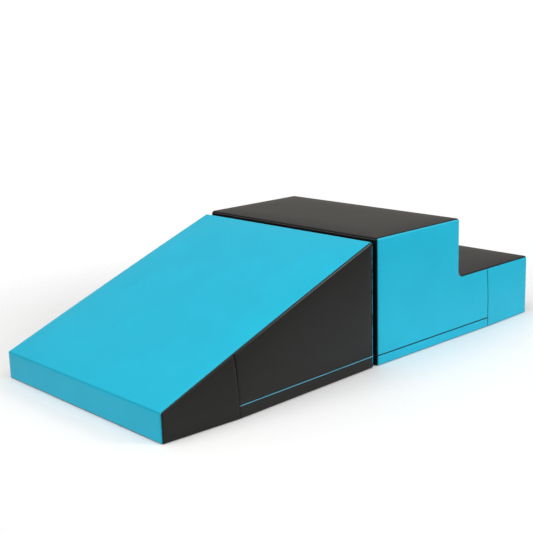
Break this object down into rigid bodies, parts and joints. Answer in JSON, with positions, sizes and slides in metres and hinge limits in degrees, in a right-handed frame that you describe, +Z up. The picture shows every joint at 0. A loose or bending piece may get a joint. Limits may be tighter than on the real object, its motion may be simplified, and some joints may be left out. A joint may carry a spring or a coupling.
{
  "type": "soft play climber",
  "caption": "Soft play foam climber: a padded ramp block and a padded step block with zipped covers, joined end to end by hook and loop strips.",
  "frame": {"origin": "on the floor, under the middle of the ramp and the steps", "axes": "+X from the ramp's toe to the low end of the steps, +Y across the blocks to the far side, +Z up"},
  "size_m": [1.2325, 0.6012, 0.303],
  "materials": {
    "blue_leather": "satin",
    "black_leather": "satin",
    "grip_fabric": "matte",
    "foam": "matte",
    "blue_zip": "matte",
    "black_zip": "matte",
    "zip_metal": "satin",
    "hook_tape": "matte"
  },
  "bodies": {
    "steps": {"steps_foam_core": "foam", "steps_top_panel": "black_leather", "steps_riser_panel": "black_leather", "steps_tread_panel": "black_leather", "steps_end_panel": "black_leather", "steps_mating_panel": "black_leather", "steps_mating_hem": "black_leather", "steps_base_panel": "grip_fabric", "steps_near_side": "blue_leather", "steps_near_outer_side": "blue_leather", "steps_near_side_hem": "blue_leather", "steps_far_side": "blue_leather", "steps_far_outer_side": "blue_leather", "steps_far_side_hem": "blue_leather", "steps_zip_upper_tape": "black_zip", "steps_zip_lower_tape": "black_zip", "steps_zip_chain": "black_zip", "steps_zip_near_stop": "zip_metal", "steps_zip_far_stop": "zip_metal", "steps_loop_strip_upper": "hook_tape", "steps_loop_strip_lower": "hook_tape"},
    "steps_slider": {"steps_zip_slider": "zip_metal"},
    "steps_pull": {"steps_zip_pull": "zip_metal"},
    "ramp": {"ramp_foam_core": "foam", "ramp_slope_panel": "blue_leather", "ramp_toe_panel": "blue_leather", "ramp_mating_panel": "blue_leather", "ramp_mating_hem": "blue_leather", "ramp_base_panel": "grip_fabric", "ramp_near_front_side": "black_leather", "ramp_near_rear_side": "black_leather", "ramp_near_side_hem": "black_leather", "ramp_far_front_side": "black_leather", "ramp_far_rear_side": "black_leather", "ramp_far_side_hem": "black_leather", "ramp_zip_upper_tape": "blue_zip", "ramp_zip_lower_tape": "blue_zip", "ramp_zip_chain": "blue_zip", "ramp_zip_near_stop": "zip_metal", "ramp_zip_far_stop": "zip_metal", "ramp_hook_strip_upper": "hook_tape", "ramp_hook_strip_lower": "hook_tape"},
    "ramp_slider": {"ramp_zip_slider": "zip_metal"},
    "ramp_pull": {"ramp_zip_pull": "zip_metal"}
  },
  "joints": [
    {"name": "ramp_parting", "type": "slide", "parent": "steps", "child": "ramp", "axis": [-1, 0, 0], "range_m": [0, 0.3]},
    {"name": "ramp_zip_run", "type": "slide", "parent": "ramp", "child": "ramp_slider", "axis": [0.9996, -0.0266, 0], "range_m": [0, 0.38], "deforming": ["ramp_zip_chain"]},
    {"name": "ramp_pull_pivot", "type": "hinge", "parent": "ramp_slider", "child": "ramp_pull", "pos_m": [-0.41689, 0.30057, 0.0275], "axis": [0, 0, 1], "range_deg": [0, 175]},
    {"name": "steps_zip_run", "type": "slide", "parent": "steps", "child": "steps_slider", "axis": [-1, -0.0095, 0], "range_m": [0, 0.4], "deforming": ["steps_zip_chain"]},
    {"name": "steps_pull_pivot", "type": "hinge", "parent": "steps_slider", "child": "steps_pull", "pos_m": [0.42293, 0.29372, 0.0245], "axis": [0, 0, -1], "range_deg": [0, 175]}
  ]
}
